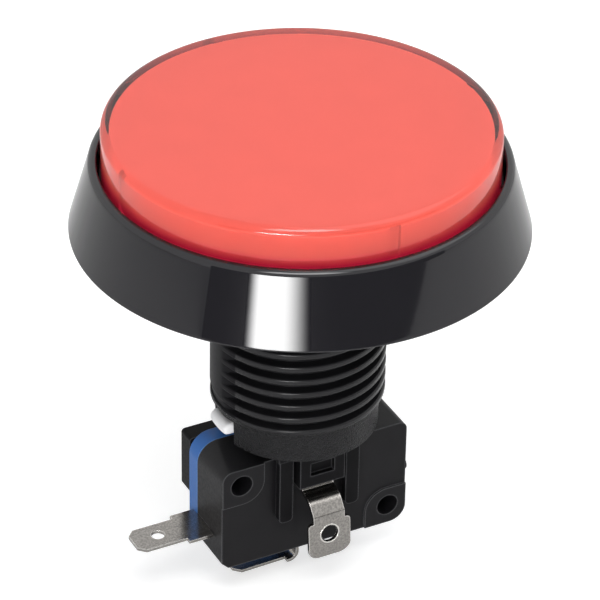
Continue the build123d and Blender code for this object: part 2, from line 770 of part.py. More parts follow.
with BuildPart() as moving_contact:
    with BuildSketch(Plane.XY.offset(snap_level - snap_thickness / 2)):
        with Locations((contact_x, switch_mid)):
            Circle(contact_radius)
    extrude(amount=-contact_depth)
    with BuildSketch(Plane.XY.offset(snap_level - snap_thickness / 2)):
        with Locations((contact_x, switch_mid)):
            Circle(contact_radius / 2)
    extrude(amount=snap_thickness + contact_stud)
moving_contact.part.label = "moving_contact"
export_step(moving_contact.part, "parts/moving_contact.step")

with BuildPart() as fixed_contact:
    with BuildSketch(Plane.XY.offset(open_level + terminal_thickness / 2)):
        with Locations((contact_x, switch_mid)):
            Circle(fixed_radius)
    extrude(amount=fixed_height)
fixed_contact.part.label = "fixed_contact"
export_step(fixed_contact.part, "parts/fixed_contact.step")
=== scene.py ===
"""Looks of a round illuminated arcade push button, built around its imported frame.

Every length of a piece is in millimetres in the classes below and becomes metres when a mesh is made. The frame is
the CAD frame: Z up through the cap, the origin on the axis in the plane of the panel.
"""

from __future__ import annotations

import logging
import math
from dataclasses import dataclass, replace
from enum import Enum
from typing import Any, Mapping, Sequence

import bmesh
import bpy
import numpy as np
from mathutils import Matrix, Vector

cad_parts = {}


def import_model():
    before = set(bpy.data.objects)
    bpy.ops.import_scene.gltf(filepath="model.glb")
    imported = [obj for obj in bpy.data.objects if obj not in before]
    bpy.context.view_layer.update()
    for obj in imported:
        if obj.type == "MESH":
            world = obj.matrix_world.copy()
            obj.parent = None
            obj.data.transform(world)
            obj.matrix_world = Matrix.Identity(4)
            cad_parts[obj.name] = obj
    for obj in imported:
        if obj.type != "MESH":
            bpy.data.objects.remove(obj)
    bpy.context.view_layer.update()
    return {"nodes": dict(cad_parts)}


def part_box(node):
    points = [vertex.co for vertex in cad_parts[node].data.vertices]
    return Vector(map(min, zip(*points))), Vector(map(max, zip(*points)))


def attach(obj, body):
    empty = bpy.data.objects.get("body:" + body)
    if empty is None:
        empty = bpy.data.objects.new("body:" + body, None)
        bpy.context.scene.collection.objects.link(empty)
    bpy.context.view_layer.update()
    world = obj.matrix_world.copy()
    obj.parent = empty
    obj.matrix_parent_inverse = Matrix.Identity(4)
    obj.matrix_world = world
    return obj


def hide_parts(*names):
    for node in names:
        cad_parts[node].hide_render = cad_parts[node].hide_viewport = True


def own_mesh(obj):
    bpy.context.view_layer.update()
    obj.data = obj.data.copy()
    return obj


MM = 0.001
TURN = 2.0 * math.pi
QUARTER = TURN / 4
LOG = logging.getLogger("arcade_button")

Piece = bpy.types.Object
Socket = bpy.types.NodeSocket
Span = tuple[float, float]
Point = Colour = tuple[float, float, float]
Inputs = Mapping[str | int, Any]

LEAST_ROUND = 1e-6  # radius of a corner that stays sharp, in millimetres
SAME_POINT = 1e-5  # distance below which an outline's points are one, in millimetres
HELD = (0.04, 0.96)  # shares of a straight run where two points keep it flat
GRID_WELD = 2e-7  # distance below which a grid's points are one, in metres
GRID_FLAW = 1e-7  # length below which a grid's edge goes, in metres
SOLID_WELD = 2e-6  # distance below which a solid's points are one, in metres
FLAT_TURN = 0.3  # degrees below which a solid's triangles are one face
SHARP_TURN = 30.0  # degrees above which a solid's edge is shaded sharp
EASED_TURN = 40.0  # degrees above which a solid's edge is eased
KEY_SIDE = 2e-3  # radians across the steep side of a key or its notch
FINE_LAYERS, BROAD_LAYERS = 3.0, 2.0  # layers of the relief's noise and of the tone's
NOISE_SPAN = (0.25, 0.75)  # noise across which the roughness swings
TONE_SPAN = (0.3, 0.7)  # noise across which the tone swings
LEAST_ROUGH = 0.01
EDGE_SAMPLES = 8  # rays for the normal near an edge
EDGE_COSINES = (0.99, 0.85)  # where the painted highlight along an edge starts and is full


class Body(Enum):
    """Bodies of the frame that pieces ride on."""

    HOUSING = "housing"
    CAP = "cap"
    BUTTON = "button"


class Grain(Enum):
    """Ways in which a surface's fine relief lies."""

    EVEN = (1.0, 1.0, 1.0)
    BRUSHED_ACROSS = (0.04, 1.0, 1.0)
    BRUSHED_DOWN = (1.0, 1.0, 0.04)
    DRAWN = (0.3, 0.3, 1.0)


# Surfaces


def unit(ways: np.ndarray) -> np.ndarray:
    """Brings each row's direction to a length of 1."""
    return ways / np.linalg.norm(ways, axis=1, keepdims=True)


def rounded_profile(corners: Sequence[Point], steps: int = 6) -> np.ndarray:
    """Turns a closed outline into points, with each corner rounded by its own radius.

    An arc touches both runs: it starts at radius over the tangent of half the corner's angle from the corner, and
    its points turn evenly about its middle. Two points on each straight run keep its shading flat.

    Args:
        corners: (across, up, radius) of each corner in order.
        steps: parts of each arc.

    Returns:
        The (across, up) points in order.
    """
    data = np.asarray(corners, float)
    here, radius = data[:, :2], np.maximum(data[:, 2], LEAST_ROUND)
    back = unit(np.roll(here, 1, axis=0) - here)
    ahead = unit(np.roll(here, -1, axis=0) - here)
    half = np.arccos(np.clip((back * ahead).sum(1), -1.0, 1.0)) / 2.0
    middle = here + unit(back + ahead) * (radius / np.sin(half))[:, None]
    reach = (radius / np.tan(half))[:, None]
    first = (here + back * reach - middle) / radius[:, None]
    last = (here + ahead * reach - middle) / radius[:, None]
    sweep = (math.pi - 2.0 * half)[:, None, None]
    share = np.linspace(0.0, 1.0, steps + 1)[None, :, None]
    way = np.sin((1.0 - share) * sweep) * first[:, None] + np.sin(share * sweep) * last[:, None]
    arcs = middle[:, None] + radius[:, None, None] * way / np.sin(sweep)
    run = np.roll(arcs[:, :1], -1, axis=0) - arcs[:, -1:]
    held = arcs[:, -1:] + run * np.array(HELD)[None, :, None]
    points = np.concatenate([arcs, held], axis=1).reshape(-1, 2)
    apart = np.linalg.norm(points - np.roll(points, 1, axis=0), axis=1) > SAME_POINT
    return points[apart]


def grid_quads(rows: int, columns: int, wrap_rows: bool = False, wrap_columns: bool = False) -> np.ndarray:
    """Corner numbers of the quads of a grid whose points are counted row by row.

    Args:
        rows: rows of points.
        columns: points in a row.
        wrap_rows: whether the last row meets the first.
        wrap_columns: whether the last column meets the first.

    Returns:
        An array whose last axis is the four corners.
    """
    down = np.arange(rows if wrap_rows else rows - 1)[:, None]
    along = np.arange(columns if wrap_columns else columns - 1)[None, :]
    below, beside = (down + 1) % rows, (along + 1) % columns
    return np.stack(
        [down * columns + along, down * columns + beside, below * columns + beside, below * columns + along], axis=-1
    )


def turned_points(radius: np.ndarray, angle: np.ndarray, height: np.ndarray) -> np.ndarray:
    """Points at the given radius, angle about the axis and height, in metres: (r cos a, r sin a, z)."""
    return np.stack(np.broadcast_arrays(radius * np.cos(angle), radius * np.sin(angle), height), axis=-1) * MM


def keyed_angles(columns: int, offsets: Sequence[float]) -> np.ndarray:
    """Angles round a piece with four keys: even columns, and columns at the offsets from each key's middle."""
    even = np.arange(columns) * TURN / columns
    sides = np.arange(4)[:, None] * QUARTER + np.array(offsets)
    return np.unique(np.mod(np.concatenate([even, sides.ravel()]), TURN).round(7))


def inside_keys(angle: np.ndarray, half: float) -> np.ndarray:
    """True for each angle that lies less than half from the middle of one of four keys."""
    return np.abs(np.mod(angle + QUARTER / 2, QUARTER) - QUARTER / 2) < half


def smooth_step(low: float, high: float, value: np.ndarray) -> np.ndarray:
    """Rises from 0 at low to 1 at high with level ends: 3 t squared less 2 t cubed."""
    share = np.clip((value - low) / (high - low), 0.0, 1.0)
    return share * share * (3.0 - 2.0 * share)


def linked(name: str, data: bpy.types.ID) -> Piece:
    """Makes an object from its data and links it to the scene."""
    made = bpy.data.objects.new(name, data)
    bpy.context.scene.collection.objects.link(made)
    return made


def new_object(
    name: str, points: np.ndarray, faces: np.ndarray, sharp: float = 32.0, ends: Sequence[Sequence[int]] = ()
) -> Piece:
    """Makes an object from points in metres and quads, with doubles merged and faces pointing outwards.

    Args:
        name: name of the piece.
        points: array of points whose last axis is x, y, z.
        faces: array of quads whose last axis is the four corner numbers.
        sharp: edges that turn by more degrees than this stay sharp.
        ends: flat end faces, each as its corner numbers.

    Returns:
        The new object, linked to the scene.
    """
    mesh = bpy.data.meshes.new(name)
    mesh.from_pydata(points.reshape(-1, 3).tolist(), [], faces.reshape(-1, 4).tolist() + [list(end) for end in ends])
    work = bmesh.new()
    work.from_mesh(mesh)
    bmesh.ops.remove_doubles(work, verts=work.verts, dist=GRID_WELD)
    bmesh.ops.dissolve_degenerate(work, edges=work.edges, dist=GRID_FLAW)
    bmesh.ops.delete(work, geom=[edge for edge in work.edges if not edge.link_faces], context="EDGES")
    bmesh.ops.recalc_face_normals(work, faces=work.faces)
    work.to_mesh(mesh)
    work.free()
    mesh.shade_smooth()
    mesh.set_sharp_from_angle(angle=math.radians(sharp))
    return linked(name, mesh)


def face_middles(mesh: bpy.types.Mesh) -> np.ndarray:
    """Middles of a mesh's faces in millimetres, one row of x, y, z for each."""
    middles = np.empty(len(mesh.polygons) * 3)
    mesh.polygons.foreach_get("center", middles)
    return middles.reshape(-1, 3) / MM


def prism_points(outline: np.ndarray, half: float, ease: float, steps: int = 4) -> np.ndarray:
    """Carries an outline in X and Z across Y, with its two ends eased by quarter rounds.

    In each row the outline is drawn in along its normals by the ease less the height of a quarter circle there.

    Args:
        outline: (x, z) points in order, in millimetres.
        half: half of the width along Y.
        ease: radius of the rounds at the ends.
        steps: parts of each round.

    Returns:
        Rows of points in metres.
    """
    ahead = unit(np.roll(outline, -1, axis=0) - outline)
    side = np.stack([ahead[:, 1], -ahead[:, 0]], axis=1)
    normal = side + np.roll(side, 1, axis=0)
    normal /= (normal * side).sum(1)[:, None]
    turns = (np.roll(outline, -1, axis=0) * outline[:, ::-1] * np.array([1.0, -1.0])).sum()
    normal *= -np.sign(turns)
    arc = np.linspace(0.0, math.pi / 2, steps + 1)
    draw = ease * (1.0 - np.sin(arc))
    depth = ease * (1.0 - np.cos(arc)) - half
    inner = np.linspace(depth[-1], -depth[-1], 4 * steps + 1)[1:-1]
    draw = np.concatenate([draw, np.zeros_like(inner), draw[::-1]])
    depth = np.concatenate([depth, inner, -depth[::-1]])
    flat = outline[None] - draw[:, None, None] * normal[None]
    across = np.broadcast_to(depth[:, None], flat.shape[:2])
    return np.stack([flat[..., 0], across, flat[..., 1]], axis=-1) * MM


def eased_copy(name: str, node: Piece, width: float, segments: int = 3) -> Piece:
    """Copies a solid's mesh with its loose triangles merged, and eases its edges.

    Args:
        name: name of the new piece.
        node: the frame's object to copy.
        width: width of the eased edge in millimetres.
        segments: parts across the eased edge.

    Returns:
        The new object, with a live Bevel modifier.
    """
    mesh = node.data.copy()
    mesh.name = name
    work = bmesh.new()
    work.from_mesh(mesh)
    bmesh.ops.remove_doubles(work, verts=work.verts, dist=SOLID_WELD)
    bmesh.ops.dissolve_limit(work, angle_limit=math.radians(FLAT_TURN), verts=work.verts, edges=work.edges)
    work.to_mesh(mesh)
    work.free()
    mesh.materials.clear()
    if "custom_normal" in mesh.attributes:
        mesh.attributes.remove(mesh.attributes["custom_normal"])
    mesh.shade_smooth()
    mesh.set_sharp_from_angle(angle=math.radians(SHARP_TURN))
    made = linked(name, mesh)
    bevel = made.modifiers.new("eased_edges", "BEVEL")
    bevel.width = width * MM
    bevel.segments = segments
    bevel.limit_method = "ANGLE"
    bevel.angle_limit = math.radians(EASED_TURN)
    bevel.use_clamp_overlap = True
    bevel.harden_normals = True
    return made


# Finishes


@dataclass
class Wiring:
    """Node tree of a material or of the world, with short ways to add and join nodes.

    Attributes:
        tree: the node tree.
    """

    tree: bpy.types.NodeTree

    def join(self, node: bpy.types.Node, inputs: Inputs) -> None:
        """Links or sets inputs of a node.

        Args:
            node: the node.
            inputs: by name or number, the socket that an input is linked to, or its value.
        """
        for key, value in inputs.items():
            if isinstance(value, Socket):
                self.tree.links.new(value, node.inputs[key])
            else:
                node.inputs[key].default_value = value

    def add(self, kind: str, inputs: Inputs) -> bpy.types.Node:
        """Adds a node.

        Args:
            kind: type of the node, without the word ShaderNode.
            inputs: what its inputs get.

        Returns:
            The new node.
        """
        node = self.tree.nodes.new("ShaderNode" + kind)
        self.join(node, inputs)
        return node

    def noise(self, vector: Socket, scale: float, detail: float) -> Socket:
        """Adds noise from 0 to 1, with so many cells in a metre and so many finer layers."""
        return self.add("TexNoise", {"Vector": vector, "Scale": scale, "Detail": detail}).outputs["Fac"]

    def ranged(self, value: Socket, start: Span, goal: Span = (0.0, 1.0)) -> Socket:
        """Adds a map of a value from one span to another, in which it stays."""
        spans = {"From Min": start[0], "From Max": start[1], "To Min": goal[0], "To Max": goal[1]}
        return self.add("MapRange", {"Value": value, **spans}).outputs["Result"]

    def mixed(self, share: Socket, first: Any, second: Any) -> Socket:
        """Adds a mix of two colours, each a socket or a value.

        Args:
            share: 0 for the first colour and 1 for the second.
            first: the first colour.
            second: the second colour.

        Returns:
            The socket of the mixed colour.
        """
        node = self.add("Mix", {})
        node.data_type = "RGBA"
        self.join(node, {0: share, 6: first, 7: second})
        return node.outputs[2]

    def combined(self, operation: str, first: Socket, second: Any) -> Socket:
        """Adds a node that combines two values by the named operation, the second a socket or a number."""
        node = self.add("Math", {0: first, 1: second})
        node.operation = operation
        return node.outputs[0]


def new_material(name: str) -> tuple[bpy.types.Material, Wiring, bpy.types.Node]:
    """Makes a material, and returns it with its wiring and its surface shader."""
    made = bpy.data.materials.new(name)
    made.use_nodes = True
    return made, Wiring(made.node_tree), made.node_tree.nodes["Principled BSDF"]


def grey(level: float) -> tuple[float, float, float, float]:
    """An opaque grey of the given linear level."""
    return (level, level, level, 1.0)


@dataclass(frozen=True)
class Finish:
    """A material with a fine relief, an uneven gloss and a slightly uneven tone.

    Attributes:
        name: name of the material.
        slot: its slot in the record; not used.
        colour: linear red, green and blue.
        roughness: middle of the gloss.
        uneven: how far the roughness swings each way.
        tone: how much darker the darkest patches are, as a share.
        relief: height of the fine relief in millimetres.
        scale: relief cells in a metre.
        grain: how the relief lies.
        metallic: 1 for bare metal.
        ior: index of refraction.
        transmission: 1 for clear plastic.
        specular: level of the plain reflection, 0.5 for common plastic.
        patch: size of the relief's cells over that of the tone's patches.
        edge: reach of the painted highlight along edges in millimetres, 0 for none.
        edge_highlight: linear red, green and blue of the painted highlight along an edge.
    """

    name: str
    slot: str
    colour: Colour
    roughness: float
    uneven: float = 0.05
    tone: float = 0.1
    relief: float = 0.003
    scale: float = 1500.0
    grain: Grain = Grain.EVEN
    metallic: float = 0.0
    ior: float = 1.49
    transmission: float = 0.0
    specular: float = 0.5
    patch: float = 0.06
    edge: float = 0.0
    edge_highlight: Colour = (0.07, 0.07, 0.074)

    def material(self) -> bpy.types.Material:
        """Builds the material, or returns the one already built.

        Returns:
            A material whose colour, roughness and normal come from noise on Object coordinates.
        """
        ready = bpy.data.materials.get("finish_" + self.name)
        if ready is not None:
            return ready
        made, wiring, shader = new_material("finish_" + self.name)
        place = wiring.add("TexCoord", {}).outputs["Object"]
        lay = wiring.add("Mapping", {"Vector": place, "Scale": self.grain.value})
        fine = wiring.noise(lay.outputs["Vector"], self.scale, FINE_LAYERS)
        broad = wiring.noise(place, self.scale * self.patch, BROAD_LAYERS)
        gloss = (max(self.roughness - self.uneven, LEAST_ROUGH), self.roughness + self.uneven)
        bump = wiring.add("Bump", {"Strength": 1.0, "Distance": self.relief * MM, "Height": fine})
        wiring.join(
            shader,
            {
                "Base Color": self.tint(wiring, broad, place),
                "Roughness": wiring.ranged(fine, NOISE_SPAN, gloss),
                "Normal": bump.outputs["Normal"],
                "Metallic": self.metallic,
                "IOR": self.ior,
                "Transmission Weight": self.transmission,
                "Specular IOR Level": self.specular,
            },
        )
        return made

    def tint(self, wiring: Wiring, broad: Socket, place: Socket) -> Socket:
        """Adds a tone that swings between the colour and a darker one, with a painted highlight along edges.

        Args:
            wiring: where the nodes go.
            broad: value of the broad noise.
            place: place on the piece.

        Returns:
            The socket of the colour.
        """
        colour = self.toned(wiring, broad, self.colour)
        if self.edge > 0.0:
            # a pale colour along edges: a painted highlight, standing in for light caught by rounded edges
            colour = wiring.mixed(self.painted_highlight_share(wiring), colour, (*self.edge_highlight, 1.0))
        return colour

    def painted_highlight_share(self, wiring: Wiring) -> Socket:
        """Adds nodes that are 1 along edges and 0 on flats: the share of the painted edge highlight.

        The value grows as the cosine between the surface's own normal and the normal averaged over the edge's
        reach falls below 1.

        Args:
            wiring: where the nodes go.

        Returns:
            The socket of that value.
        """
        near = wiring.add("Bevel", {"Radius": self.edge * MM})
        near.samples = EDGE_SAMPLES
        own = wiring.add("NewGeometry", {})
        cosine = wiring.add("VectorMath", {0: near.outputs["Normal"], 1: own.outputs["Normal"]})
        cosine.operation = "DOT_PRODUCT"
        return wiring.ranged(cosine.outputs["Value"], EDGE_COSINES)

    def toned(self, wiring: Wiring, broad: Socket, colour: Colour) -> Socket:
        """Adds a ramp between a colour and its darker tone.

        Args:
            wiring: where the nodes go.
            broad: value of the broad noise.
            colour: linear red, green and blue.

        Returns:
            The socket of the colour.
        """
        ramp = wiring.add("ValToRGB", {"Fac": broad})
        dark, light = ramp.color_ramp.elements
        dark.position, light.position = TONE_SPAN
        dark.color = (*(part * (1.0 - self.tone) for part in colour), 1.0)
        light.color = (*colour, 1.0)
        return ramp.outputs["Color"]

    def dress(self, piece: Piece) -> None:
        """Puts the material on every slot of a piece."""
        if not piece.data.materials:
            piece.data.materials.append(self.material())
        for index in range(len(piece.data.materials)):
            piece.data.materials[index] = self.material()


@dataclass(frozen=True)
class TintedClear(Finish):
    """Clear coloured plastic with a deeper red low in the skirt: painted shade for light that goes through more of it
    there.

    Attributes:
        deep: linear red, green and blue of the painted shade low in the skirt.
        levels: heights in millimetres below which the painted shade is full, and above which the colour is the top's.
    """

    deep: Colour = (1.0, 0.012, 0.085)
    levels: Span = (9.7, 11.2)

    def tint(self, wiring: Wiring, broad: Socket, place: Socket) -> Socket:
        """Adds a painted shade that deepens lower down.

        Args:
            wiring: where the nodes go.
            broad: value of the broad noise.
            place: place on the piece.

        Returns:
            The socket of the colour.
        """
        height = wiring.add("SeparateXYZ", {"Vector": place}).outputs["Z"]
        share = wiring.ranged(height, (self.levels[0] * MM, self.levels[1] * MM))
        # deeper red low in the skirt: painted shade
        return wiring.mixed(share, self.toned(wiring, broad, self.deep), self.toned(wiring, broad, self.colour))


CLEAR_RED = TintedClear(
    "clear_red", "red_clear", (1.0, 0.11, 0.077), 0.02, uneven=0.008, tone=0.02, relief=0.0003, scale=160.0,
    transmission=1.0,
)
LENS_LINING = Finish(
    "lens_lining", "red_clear", (0.95, 0.95, 0.95), 0.6, tone=0.02, relief=0.002, scale=2600.0, specular=0.0
)
WHITE_PLASTIC = Finish(
    "white_plastic", "white_plastic", (0.93, 0.93, 0.94), 0.38, tone=0.03, scale=2600.0
)
SPRING_STEEL = Finish(
    "spring_steel", "spring_steel", (0.58, 0.58, 0.6), 0.3, relief=0.004, scale=2500.0, grain=Grain.DRAWN,
    metallic=1.0,
)
GLOSS_BLACK = Finish(
    "gloss_black", "black_gloss", (0.011, 0.0105, 0.013), 0.04, uneven=0.01, relief=0.0008, scale=700.0
)
# lighter than the bezel's black: painted fill light in the thread's shaded grooves; the plain strip keeps that colour
THREAD_BLACK_PAINTED_FILL = Finish(
    "thread_black_painted_fill", "black_gloss", (0.016, 0.0157, 0.0175), 0.16, tone=0.2, scale=4000.0, specular=0.3
)
STRIP_BLACK = replace(THREAD_BLACK_PAINTED_FILL, name="strip_black", roughness=0.4, specular=0.04)
BAND_BLACK = Finish(
    "band_black", "black_gloss", (0.0085, 0.0082, 0.0098), 0.32, uneven=0.12, tone=0.6, relief=0.25, scale=4500.0,
    specular=0.22, patch=0.5,
)
# its edge reach and pale edge colour paint a highlight along the case's edges
CASE_BLACK = Finish(
    "case_black", "black_matt", (0.0085, 0.0082, 0.0095), 0.42, uneven=0.08, tone=0.2, relief=0.006, scale=3200.0,
    specular=0.17, edge=0.36,
)
# its edge reach and pale edge colour paint a highlight along the holder's edges
HOLDER_BLACK = Finish(
    "holder_black", "black_matt", (0.0075, 0.0073, 0.0083), 0.4, uneven=0.07, tone=0.2, relief=0.004, scale=3000.0,
    specular=0.06, edge=0.36,
)
# its near-white edge colour paints a highlight along the tabs' edges
PLATED_STEEL = Finish(
    "plated_steel", "plated_steel", (0.38, 0.362, 0.34), 0.2, uneven=0.08, tone=0.4, relief=0.0015, scale=3000.0,
    grain=Grain.BRUSHED_ACROSS, metallic=1.0, patch=1.2, edge=0.3, edge_highlight=(0.85, 0.83, 0.8),
)
# a much lighter copy of the plated steel: a painted highlight on the coined hole rims
RIM_STEEL_PAINTED_HIGHLIGHT = Finish(
    "rim_steel_painted_highlight", "plated_steel", (0.8, 0.78, 0.74), 0.25, uneven=0.06, tone=0.2, relief=0.001, scale=3000.0,
    metallic=1.0, patch=1.2,
)
LAMP_PLASTIC = Finish("lamp_plastic", "lamp_plastic", (0.8, 0.8, 0.76), 0.4, tone=0.05)
EMITTER_RESIN = Finish("emitter_resin", "emitter", (0.88, 0.86, 0.74), 0.2, tone=0.06, relief=0.002)
LEAD_WIRE = Finish(
    "lead_wire", "lead_wire", (0.7, 0.68, 0.64), 0.3, scale=3000.0, grain=Grain.BRUSHED_DOWN,
    metallic=1.0,
)
# its light blue edge colour paints a highlight along the cover's edges
BLUE_PLASTIC = Finish(
    "blue_plastic", "blue_plastic", (0.03, 0.14, 0.44), 0.36, uneven=0.06, relief=0.004, scale=2800.0,
    specular=0.28, edge=0.3, edge_highlight=(0.16, 0.36, 0.72),
)
PIN_PLASTIC = Finish("pin_plastic", "button_plastic", (0.02, 0.02, 0.022), 0.4, specular=0.3)
CONTACT_BRASS = Finish(
    "contact_brass", "contact_brass", (0.72, 0.53, 0.24), 0.3, tone=0.15, metallic=1.0
)


def seat(piece: Piece, body: Body, finish: Finish, *nodes: str) -> Piece:
    """Dresses a new piece, makes it ride on a body and lets it stand for nodes of the frame.

    Args:
        piece: the new object.
        body: body that it moves with.
        finish: its finish.
        nodes: names of the nodes that it replaces.

    Returns:
        The same object.
    """
    finish.dress(piece)
    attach(piece, body.value)
    if nodes:
        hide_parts(*nodes)
    LOG.info("%s: %d faces, rides on %s", piece.name, len(piece.data.polygons), body.value)
    return piece


# Pieces


@dataclass
class CapLens:
    """Clear red cap: flat top, round edge, and a skirt with a bead and four keys inside."""

    radius: float = 25.7
    inner: float = 24.5
    top: float = 15.0
    plate: float = 1.5
    foot: float = 5.0
    edge_round: float = 1.0
    foot_round: float = 0.2
    inner_round: float = 0.15
    bead_low: float = 7.6
    bead_high: float = 8.1
    bead_reach: float = 0.5
    bead_slope: float = 0.05
    bead_round: float = 0.1
    key_foot: float = 8.3
    key_inner: float = 23.7
    key_half: float = 0.7
    step: float = 1e-3
    lining_margin: float = 0.05
    bare_foot: float = 0.3
    columns: int = 256

    def build(self) -> Piece:
        """Turns the cap's section about the axis, with the inner wall drawn in at the keys.

        Returns:
            The cap as a closed object.
        """
        under, bead = self.top - self.plate, self.inner - self.bead_reach
        section = rounded_profile(
            [
                (0.0, self.top, 0.0),
                (self.radius, self.top, self.edge_round),
                (self.radius, self.foot, self.foot_round),
                (self.inner, self.foot, self.foot_round),
                (self.inner, self.bead_low, 0.0),
                (bead, self.bead_low + self.bead_slope, self.bead_round),
                (bead, self.bead_high - self.bead_slope, self.bead_round),
                (self.inner, self.bead_high, 0.0),
                (self.inner, self.key_foot, 0.0),
                (self.inner - self.step, self.key_foot + self.step, 0.0),
                (self.inner - self.step, under, self.inner_round),
                (0.0, under, 0.0),
            ],
            steps=10,
        )
        half = math.asin(self.key_half / self.inner)
        angle = keyed_angles(self.columns, [-half - KEY_SIDE, -half, half, half + KEY_SIDE])
        in_key = inside_keys(angle, half + KEY_SIDE / 2)
        radius, height = section[:, :1], section[:, 1:]
        wall = (height > self.key_foot + self.step / 2) & (height < under - self.step / 2)
        deep = np.where(wall & (radius > self.key_inner) & in_key[None, :], self.key_inner, radius)
        points = turned_points(deep, angle[None, :], height)
        faces = grid_quads(len(section), len(angle), wrap_rows=True, wrap_columns=True)
        made = seat(new_object("cap_lens_clear", points, faces), Body.CAP, CLEAR_RED, "cap_lens")
        self.line_inside(made.data)
        return made

    def line_inside(self, mesh: bpy.types.Mesh) -> None:
        """Gives the inner faces a white lining, as of a lens that lies close on its white disc."""
        mesh.materials.append(LENS_LINING.material())
        middles = face_middles(mesh)
        inside = np.hypot(middles[:, 0], middles[:, 1]) < self.inner + self.lining_margin
        inside &= middles[:, 2] < self.top - self.plate + self.lining_margin
        inside &= middles[:, 2] > self.foot + self.bare_foot
        mesh.polygons.foreach_set("material_index", inside.astype(np.int32))


@dataclass
class Plunger:
    """White plunger: the disc under the cap, its stem, and two legs with feet, one of them with a pad."""

    disc: float = 24.3
    disc_top: float = 13.3
    disc_bottom: float = 12.0
    rim_foot: float = 8.3
    rim_wall: float = 1.2
    key_depth: float = 0.8
    key_half: float = 0.8
    stem: float = 9.25
    stem_inner: float = 7.9
    stem_foot: float = -24.0
    foot: float = 12.1
    foot_half: float = 2.3
    foot_top: float = -27.1
    foot_bottom: float = -28.8
    foot_round: float = 1.0
    foot_corner: float = 0.3
    pad_tip: float = 4.3
    pad_top: float = -27.9
    pad_bottom: float = -29.9
    ease: float = 0.5
    under_round: float = 0.6
    disc_round: float = 0.25
    end_round: float = 0.15
    inner_round: float = 0.3
    stem_round: float = 0.5
    pad_corner: float = 0.2
    leg_lap: float = 1.0
    leg_inset: float = 0.02
    columns: int = 256

    def turned(self) -> tuple[np.ndarray, np.ndarray]:
        """Turns the section of disc, rim and stem about the axis, with the outside drawn in at the key notches.

        Returns:
            The grid of points in metres, and its quads.
        """
        section = rounded_profile(
            [
                (0.0, self.disc_top, 0.0),
                (self.disc, self.disc_top, self.disc_round),
                (self.disc, self.rim_foot, self.end_round),
                (self.disc - self.rim_wall, self.rim_foot, self.end_round),
                (self.disc - self.rim_wall, self.disc_bottom, self.inner_round),
                (self.stem, self.disc_bottom, self.stem_round),
                (self.stem, self.stem_foot, self.end_round),
                (self.stem_inner, self.stem_foot, self.end_round),
                (self.stem_inner, self.disc_bottom, self.inner_round),
                (0.0, self.disc_bottom, 0.0),
            ]
        )
        half = math.asin(self.key_half / self.disc)
        angle = keyed_angles(self.columns, [-half, -half + KEY_SIDE, half - KEY_SIDE, half])
        in_key = inside_keys(angle, half - KEY_SIDE / 2)
        radius = np.where(in_key[None, :], np.minimum(section[:, :1], self.disc - self.key_depth), section[:, :1])
        points = turned_points(radius, angle[None, :], section[:, 1:])
        return points.reshape(-1, 3), grid_quads(len(section), len(angle), True, True).reshape(-1, 4)

    def leg(self, side: int) -> np.ndarray:
        """Outline of a leg in X and Z, from inside the stem's end down to its foot.

        Args:
            side: -1 for the leg with the pad, 1 for the other.

        Returns:
            The (x, z) points.
        """
        start, under = self.stem_foot + self.leg_lap, self.under_round
        inner, outer = self.stem_inner + self.leg_inset, self.stem - self.leg_inset
        shape = [
            (outer, start, 0.0),
            (outer, self.foot_top, self.inner_round),
            (self.foot, self.foot_top, self.foot_round),
            (self.foot, self.foot_bottom, under),
        ]
        if side < 0:
            shape += [
                (outer, self.foot_bottom, self.pad_corner),
                (outer, self.pad_bottom, under),
                (self.pad_tip, self.pad_bottom, under),
                (self.pad_tip, self.pad_top, under),
                (inner, self.pad_top, self.inner_round),
            ]
        else:
            shape += [(inner, self.foot_bottom, under)]
        shape += [(inner, start, 0.0)]
        return rounded_profile(shape) * np.array([side, 1.0])

    def foot_bend(self, across: np.ndarray, along: np.ndarray) -> np.ndarray:
        """How far the legs' points go in towards the axis.

        A point goes in by the drop of the foot's outer circle at its place along Y. Beyond the stem it goes in
        further near the foot's two ends, by the drop of a quarter round there, in proportion to its reach.

        Args:
            across: X of the points in millimetres.
            along: Y of the points in millimetres.

        Returns:
            The shift of each point in millimetres.
        """
        circle = self.foot - np.sqrt(self.foot**2 - along**2)
        past = np.clip(np.abs(along) - self.foot_half + self.foot_corner, 0.0, self.foot_corner)
        corner = self.foot_corner - np.sqrt(self.foot_corner**2 - past**2)
        reach = np.clip((np.abs(across) - self.stem) / (self.foot - self.stem), 0.0, 1.0)
        return circle + corner * reach

    def build(self) -> Piece:
        """Joins the turned part and the two legs into one piece.

        Returns:
            The plunger.
        """
        points, faces = self.turned()
        ends = []
        for side in (-1, 1):
            rows = prism_points(self.leg(side), self.foot_half, self.ease)
            rows[..., 0] -= side * self.foot_bend(rows[..., 0] / MM, rows[..., 1] / MM) * MM
            quads = grid_quads(*rows.shape[:2], wrap_columns=True).reshape(-1, 4) + len(points)
            last = np.arange(rows.shape[1])
            ends += [len(points) + last, len(points) + last + rows.shape[1] * (rows.shape[0] - 1)]
            points = np.concatenate([points, rows.reshape(-1, 3)])
            faces = np.concatenate([faces, quads])
        made = new_object("plunger_moulding", points, faces, ends=ends)
        return seat(made, Body.CAP, WHITE_PLASTIC, "plunger")


